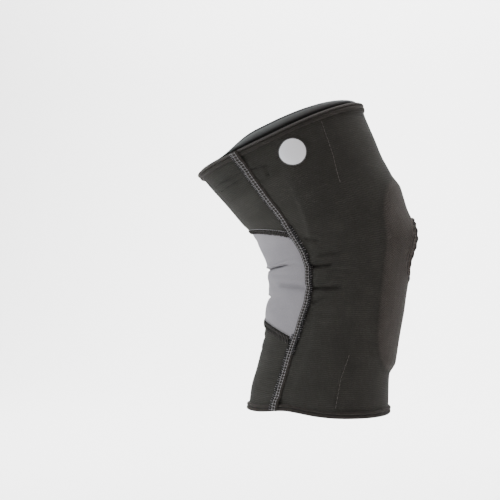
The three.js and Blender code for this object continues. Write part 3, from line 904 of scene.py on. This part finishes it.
def strip(name, angle, along, shift_angle, shift_along, width, lift, material):
    """A low rounded profile carried along a line on the cloth, with closed ends."""
    across = np.array([-0.5, -0.25, 0, 0.25, 0.5, 0.46, 0.3, 0.12, 0, -0.12, -0.3, -0.46])
    up = np.array([0, 0, 0, 0, 0, 0.6, 0.95, 1.0, 0.8, 1.0, 0.95, 0.6])
    a = angle[:, None] + shift_angle * across * width
    s = along[:, None] + shift_along * across * width
    points = sleeve(a, s, lift[:, None] + up * SEAM_THICK)
    steps, count = points.shape[:2]
    row, column = grid_corners(steps, count, False, True)
    faces = (row * count + column % count).reshape(-1, 4)
    first = np.arange(count)[None, ::-1]
    last = np.arange(count)[None] + (steps - 1) * count
    if shift_angle < 0 or (shift_angle == 0 and shift_along > 0):
        faces, first, last = faces[:, ::-1], first[:, ::-1], last[:, ::-1]
    side = np.concatenate([faces.ravel(), first.ravel(), last.ravel()])
    uv = np.stack([side % count / count * 0.012, side // count * 0.0015], axis=-1)
    return new_piece(name, points, [faces, first, last], material, uv, sharp=60)


def seam_route(side, offset, low=0.0, high=1.0):
    """Angle, height and out of a line beside the seam, offset towards the front."""
    bottom = float(hem_bottom(float(seam_angle(-BELOW)))) + SEAM_END
    top = float(hem_top(float(seam_angle(ABOVE)))) - SEAM_END

    def route(t):
        along = bottom + (top - bottom) * (low + (high - low) * t)
        angle = seam_angle(along)
        shift = offset / (KNEE_WIDTH / 2)
        return side * (angle - shift), along, seam_lift(angle, along) + THREAD_LIFT

    return route


def seam_rungs(side, near, far, pitch, low, high, lean):
    """Threads across the seam from one offset to the other, leaning along it."""
    here, there = seam_route(side, near, low, high), seam_route(side, far, low, high)
    t = np.linspace(0, 1, 300)
    angle, along, out = here(t)
    length = run_length(sleeve(angle, along, out))
    count = int(length[-1] / pitch)
    at = np.interp((np.arange(count) + 0.5) / count, length / length[-1], t)[:, None]
    a0, s0, o0 = here(at)
    a1, s1, o1 = there(at)
    bow = 0.0002 - 0.0009 * np.abs(2 * RUNG_PARTS - 1) ** 4
    loose = np.random.default_rng(7).normal(0, 1, (2, count, 1))
    a = a0 + (a1 - a0) * RUNG_PARTS * (1 + 0.12 * loose[0])
    s = s0 + (s1 - s0) * RUNG_PARTS + (lean + 0.0004 * loose[1]) * (RUNG_PARTS - 0.5)
    o = o0 + (o1 - o0) * RUNG_PARTS + bow
    return sleeve(a, s, o), outward(a, s, o)


# %% Both side seams
SIDES = ((-1, "near"), (1, "far"))
NEEDLE_ROWS = (("front_row", 0.0007, 0.0003), ("rear_row", -0.0015, 0.00032))
STITCH_PITCH, STITCH_SHARE, STITCH_BOW = 0.0027, 0.9, 0.0002

# Threads across a seam. Each row: where they lie, radius, thread and slot, then their stretches
# of the seam. Each stretch: offset of the two ends towards the front, pitch, start and end as
# shares of the seam's length, and lean along it.
REAR_RUNGS = (
    (-0.0012, -0.0048, 0.0019, 0.0, 0.255, 0.0006),
    (-0.0012, -0.0036, 0.0016, 0.645, 1.0, 0.0005),
)
REAR_FRINGE = (
    (-0.0012, -0.0052, 0.0011, 0.0, 0.27, -0.0006),
    (-0.0012, -0.0044, 0.0014, 0.63, 0.985, -0.0005),
)
FRONT_UP = ((0.0012, 0.0036, 0.0009, 0.2, 0.68, -0.0009),)
FRONT_DOWN = ((0.0012, 0.0036, 0.0021, 0.2, 0.68, 0.0009),)
MIDDLE = ((0.0007, -0.0015, STITCH_PITCH, 0.0, 1.0, 0.0012),)
CROSSING = (
    ("rear_rungs", 0.00019, GREY_THREAD, "seam_thread", REAR_RUNGS),
    ("rear_fringe", 0.00028, BLACK_THREAD, "black_thread", REAR_FRINGE),
    ("front_rungs_up", 0.00038, BLACK_THREAD, "black_thread", FRONT_UP),
    ("front_rungs_down", 0.00025, GREY_THREAD, "black_thread", FRONT_DOWN),
    ("middle_rungs", 0.00016, GREY_THREAD, "seam_thread", MIDDLE),
)

for side, word in SIDES:
    angle, along, out = seam_route(side, 0.0)(np.linspace(0, 1, 150))
    turning, lift = side / (KNEE_WIDTH / 2), out - THREAD_LIFT
    ridge = strip(f"{word}_seam_ridge", angle, along, turning, 0, SEAM_WIDTH, lift, HEM)
    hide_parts(f"side_seam_{word}")
    for row_name, offset, thick in NEEDLE_ROWS:
        route = seam_route(side, offset)
        lines, normals = stitch_row(route, STITCH_PITCH, STITCH_SHARE, STITCH_BOW)
        row_piece = threads(f"{word}_seam_{row_name}", lines, normals, thick, GREY_THREAD, 6)
    for place, thick, thread, slot_name, stretches in CROSSING:
        lines, normals = joined(seam_rungs(side, *tone_and_painted_light) for tone_and_painted_light in stretches)
        rungs = threads(f"{word}_seam_{place}", lines, normals, thick, thread)

# %% [markdown]
# ## Seams of the grey panel
# Above and below the grey panel runs a black overlocked seam: a low ridge wound with dark
# thread, with a light row of stitches along its upper edge.


# %% Cross seams
WOUND_TOP, WOUND_LIFT, WOUND_PITCH, WOUND_RADIUS = 0.0025, 0.0006, 0.0018, 0.00034


def cross_route(line, offset, lift):
    """Angle, height and out of a line beside a cross seam, offset upwards."""
    clear = (SEAM_WIDTH / 2 + 0.0014) / (KNEE_WIDTH / 2)
    end = float(seam_angle(float(line(float(seam_angle(0.0)))))) + clear

    def route(t):
        angle = end + (TURN - 2 * end) * t
        return angle, line(angle) + offset, GAP + lift + 0 * t

    return route


def winding(line, bottom, lean):
    """Threads wound over the cross seam from its lower to its upper edge."""
    low, high = (cross_route(line, offset, WOUND_LIFT) for offset in (bottom, WOUND_TOP))
    angle, along, out = low(np.linspace(0, 1, 200))
    count = int(run_length(sleeve(angle, along, out))[-1] / WOUND_PITCH)
    at = ((np.arange(count) + 0.5) / count)[:, None]
    a0, s0, o0 = low(at)
    a1, s1, o1 = high(at)
    a = a0 + (a1 - a0) * RUNG_PARTS + lean * (RUNG_PARTS - 0.5)
    loose = np.random.default_rng(11).normal(0, 1, (count, 1))
    s = s0 + (s1 - s0) * (0.5 + (RUNG_PARTS - 0.5) * (1 + 0.12 * loose))
    o = o0 + (o1 - o0) * RUNG_PARTS + 0.0002 - 0.001 * np.abs(2 * RUNG_PARTS - 1) ** 4
    return sleeve(a, s, o), outward(a, s, o)


for line, word, bottom in ((upper_cross, "upper", -0.003), (lower_cross, "lower", -0.0044)):
    angle, along, out = cross_route(line, 0.0, 0.0)(np.linspace(0, 1, 120))
    ridge = strip(f"{word}_cross_ridge", angle, along, 0, 1, CROSS_WIDTH, out, BLACK)
    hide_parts(f"{word}_cross_seam")
    for lean, color, way in ((0.014, DARK_THREAD, "up"), (-0.014, BLACK_THREAD, "down")):
        lines, normals = winding(line, bottom, lean)
        wound = threads(f"{word}_cross_threads_{way}", lines, normals, WOUND_RADIUS, color)
    lines, normals = stitch_row(cross_route(line, 0.0031, 0.0001), 0.0024, 0.85)
    row_piece = threads(f"{word}_cross_stitches", lines, normals, 0.0003, GREY_THREAD)

# %% [markdown]
# ## Binding of the kneecap opening
# The cut edge of the opening is bound: a black elastic tape is folded over it. It is a channel
# profile carried round the opening. Elastic sewn under tension ripples, so its edge waves a
# little.


# %% Binding
def front_place(y, z):
    """Angle and height of the sleeve's outer point at y and z in front, found by turns."""
    angle, along = np.zeros_like(y), z.copy()
    for _ in range(60):
        p = sleeve(angle, along)
        angle = angle + (y - p[..., 1]) / (KNEE_WIDTH / 2)
        along = along + (z - p[..., 2]) * 0.6
    return angle, along


# Each row: distance from the finished edge and out from the cloth in millimetres, padding, and
# how brown the tape is.
BINDING_ROWS = np.array([
    (0, 0.5, 1, 0.1),
    (0.1, 1.1, 1, 0),
    (0.6, 1.5, 1, 0),
    (1.3, 1.6, 1, 0.1),
    (2.1, 1.4, 1, 0.5),
    (2.7, 0.9, 1, 0.8),
    (2.8, 0.1, 1, 0.8),
    (1.9, 0.05, 1, 0),
    (1.1, 0, 1, 0),
    (1.1, -3, 0, 0),
    (1.9, -3.05, 0, 0),
    (2.8, -3.1, 0, 0),
    (2.7, -3.9, 0, 0),
    (1.7, -4.4, 0, 0),
    (0.6, -4.4, 0, 0),
    (0.1, -4, 0, 0),
    (0, -3.3, 0, 0.4),
    (-0.1, -2, 0.3, 1),
    (-0.1, -0.6, 0.8, 1),
])
BINDING_STEPS, RIPPLE = 200, 0.0004


def binding_loops():
    """The tape's profile at each step round the opening, with a flatter lip in the lower half."""
    rows = BINDING_ROWS
    turn = np.linspace(0, TURN, BINDING_STEPS, endpoint=False)[:, None]
    margin = rows[:, 0] / 1000 + 0 * turn
    y = (OPENING_WIDTH / 2 + margin) * np.cos(turn)
    z = (OPENING_HEIGHT / 2 + margin) * np.sin(turn)
    angle, along = front_place(y, z)
    ripple = np.sin(19 * turn + 0.8 * np.sin(3 * turn)) * RIPPLE
    flatter = 1 - 0.6 * smooth(-np.sin(turn), 0.0, 0.7) * (rows[:, 1] > 0)
    out = (rows[:, 1] / 1000 + ripple * (rows[:, 1] > 1)) * flatter
    return sleeve(angle, along, out, rows[:, 2] + 0 * turn)


tape_tones = np.tile(BINDING_ROWS[:, 3], BINDING_STEPS)
binding = band_piece(
    "opening_binding", binding_loops(), BLACK, 0.16, 0.016, sharp=60, values=tape_tones
)
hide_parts("patella_binding")
print(f"kneecap binding: {len(binding.data.polygons)} faces")

# %% [markdown]
# ## Stitches of the pockets and of the band inside the top
# A row of dark stitches holds the front edge of each stay pocket. It shows in two stretches,
# above and below the knee. Black stitches show where an elastic band is sewn inside the top;
# they run along the creases there, and their black is partly painted shade for those creases.

# %% Pocket and band stitches
# Each row: angle and height of one end, and of the other, in degrees and millimetres.
POCKET_ROWS = [
    (57, 104, 60, 72),
    (60, 72, 63.8, 48.5),
    (69.2, -91, 75.5, -112),
    (75.5, -112, 80, -138.5),
]

# The rows of the band end in a short bar of dense stitches behind each pocket.
# These rows follow the creases near the top, so their black thread also stands as painted shade in
# those creases.
BAND_ROWS = [
    (156, 96.6, 121, 93.2),
    (154, 89.8, 124, 88.6),
    (114.5, 91.2, 105, 87.6),
    (105, 88.4, 106.6, 79),
]


def straight_route(side, a0, s0, a1, s1, lift=0.0002):
    """A straight row on the cloth between two places."""

    def route(t):
        angle = np.radians(a0 + (a1 - a0) * t)
        return side * angle, (s0 + (s1 - s0) * t) / 1000, lift + 0 * t

    return route


# Each row: what is sewn, its rows, pitch, share that shows, radius, thread and slot.
SEWN = (
    ("pocket", POCKET_ROWS, 0.0034, 0.86, 0.00028, DARK_THREAD, "seam_thread"),
    ("band", BAND_ROWS, 0.0018, 0.8, 0.0003, BLACK_THREAD, "black_thread"),
)
SEWN_BOW = -0.0001

for side, word in SIDES:
    for sewn, rows, pitch, share, radius, thread, slot_name in SEWN:
        routes = [straight_route(side, *row) for row in rows]
        lines, normals = joined(stitch_row(route, pitch, share, SEWN_BOW) for route in routes)
        piece = threads(f"{word}_{sewn}_stitches", lines, normals, radius, thread)

# %% [markdown]
# ## Badge
# A round silver-grey badge is pressed onto the near side of the thigh. It is left bare, with a
# thin dark rim, and follows the curve of the cloth.

# %% Badge
BADGE_ANGLE, BADGE_ALONG, BADGE_RADIUS = math.radians(-85), 0.79 * ABOVE, 0.012


def badge_disc(name, profile, material):
    """profile holds radius and out of each ring, from the middle of the back to that of the front."""
    step = 0.01
    ends = sleeve(np.array([BADGE_ANGLE - step, BADGE_ANGLE + step]), BADGE_ALONG)
    per_angle = float(np.linalg.norm(ends[1] - ends[0])) / (2 * step)
    turn = np.linspace(0, TURN, 64, endpoint=False)
    radius, out = profile[:, :1], profile[:, 1:]
    angle = BADGE_ANGLE + radius * np.cos(turn) / per_angle
    along = BADGE_ALONG + radius * np.sin(turn)
    points = sleeve(angle, along, out + 0 * turn)
    rings, count = points.shape[:2]
    row, column = grid_corners(rings, count, False, True)
    faces = (row * count + column % count).reshape(-1, 4)
    ends = [np.arange(count)[None, ::-1], np.arange(count)[None] + (rings - 1) * count]
    return new_piece(name, points, [faces, *ends], material, sharp=40)


R = BADGE_RADIUS
DISC_ROWS = np.array([
    (0.002, 0.0003),
    (R * 0.9, 0.0003),
    (R * 0.93, 0.0005),
    (R * 0.93, 0.0009),
    (R * 0.9, 0.00108),
    (R * 0.5, 0.0011),
    (0.002, 0.0011),
])
RIM_ROWS = np.array([
    (0.002, 0.0002),
    (R * 0.97, 0.0002),
    (R, 0.0004),
    (R, 0.0007),
    (R * 0.98, 0.0009),
    (R * 0.94, 0.0009),
    (R * 0.92, 0.0007),
    (0.002, 0.0007),
])
badge = badge_disc("badge", DISC_ROWS, SILVER)
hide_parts("emblem")
badge_rim = badge_disc("badge_rim", RIM_ROWS, RIM)
print(f"badge {2 * R:.3f} m across")

# %% [markdown]
# ## Stage, light and camera
# A pale floor that curves up into a backdrop has no edge behind the object. Large soft lights
# stand left, right and above it, and one lights the backdrop. The surroundings fill the shadows
# softly, and look paler where they are seen directly. The camera looks from the near side,
# level with the knee.

# %% Stage
FLOOR = -0.32
turn = np.linspace(0, math.pi / 2, 24)
depth = np.concatenate([[-3.0], 1.4 + 0.8 * np.sin(turn), [2.2]])
height = np.concatenate([[FLOOR], FLOOR + 0.8 * (1 - np.cos(turn)), [FLOOR + 4.0]])
across = np.array([-4.0, 4.0])
sweep = np.stack(np.broadcast_arrays(across, depth[:, None], height[:, None]), axis=-1)
PAPER = plain("pale paper", (0.86, 0.86, 0.86), Roughness=0.9)
row, column = grid_corners(len(depth), 2)
floor = new_piece("floor", sweep, [(row * 2 + column).reshape(-1, 4)], PAPER)
print("floor at", FLOOR)


# %% Lights
def placed(right, back, place):
    """The matrix of a lamp or camera from its right side, the direction behind it and its place."""
    columns = np.stack([right, np.cross(back, right), back, place], axis=1)
    return Matrix([*columns.tolist(), [0, 0, 0, 1]])


def soft_light(name, place, size, power, color=(1, 1, 1), target=(0, 0, 0)):
    """A square area light at a place, turned to face a target."""
    data = bpy.data.lights.new(name, "AREA")
    data.size = size
    data.energy = power
    data.color = color
    light = bpy.data.objects.new(name, data)
    back = np.array(place, float) - np.array(target, float)
    back /= np.linalg.norm(back)
    right = np.cross([0, 0, 1], back)
    right /= np.linalg.norm(right)
    light.matrix_world = placed(right, back, place)
    bpy.context.scene.collection.objects.link(light)
    return light


soft_light("left softbox", (-1.45, -0.5, 0.75), 1.0, 46)
soft_light("right softbox", (1.4, -0.9, 0.6), 0.8, 13, (1.0, 0.80, 0.76))
soft_light("top softbox", (0.0, -0.6, 1.7), 0.8, 18)
soft_light("backdrop light", (0.0, 0.8, 2.0), 2.0, 300, target=(0, 2.2, 0.6))
SHADOW_FILL, SEEN_PALER = 0.38, 0.6
world = bpy.data.worlds.new("pale surrounding")
world.use_nodes = True
surrounding = world.node_tree.nodes["Background"]
surrounding.inputs["Color"].default_value = (1, 1, 1, 1)
seen = node(world.node_tree, "ShaderNodeLightPath").outputs["Is Camera Ray"]
strength = maths(world.node_tree, "MULTIPLY_ADD", seen, SEEN_PALER, SHADOW_FILL)
world.node_tree.links.new(strength, surrounding.inputs["Strength"])
bpy.context.scene.world = world

# %% Camera
CAMERA_AZIMUTH, CAMERA_DISTANCE, CAMERA_SHIFT = math.radians(12.5), 1.1, -0.077
METRES_PER_PIXEL, PICTURE_WIDTH, SENSOR_WIDTH = 0.00092, 500, 36
camera_data = bpy.data.cameras.new("camera")
camera_data.sensor_width = SENSOR_WIDTH
camera_data.lens = SENSOR_WIDTH * CAMERA_DISTANCE / (PICTURE_WIDTH * METRES_PER_PIXEL)
camera = bpy.data.objects.new("camera", camera_data)
right = np.array([math.cos(CAMERA_AZIMUTH), math.sin(CAMERA_AZIMUTH), 0])
back = np.array([math.sin(CAMERA_AZIMUTH), -math.cos(CAMERA_AZIMUTH), 0])
place = right * CAMERA_SHIFT + back * CAMERA_DISTANCE
camera.matrix_world = placed(right, back, place)
bpy.context.scene.collection.objects.link(camera)
bpy.context.scene.camera = camera
print(f"camera at {np.round(place, 3)}, {camera_data.lens:.1f} mm")

# %% [markdown]
# ## End of the scene
# All the pieces, lights and the camera are in place.

print("scene built")
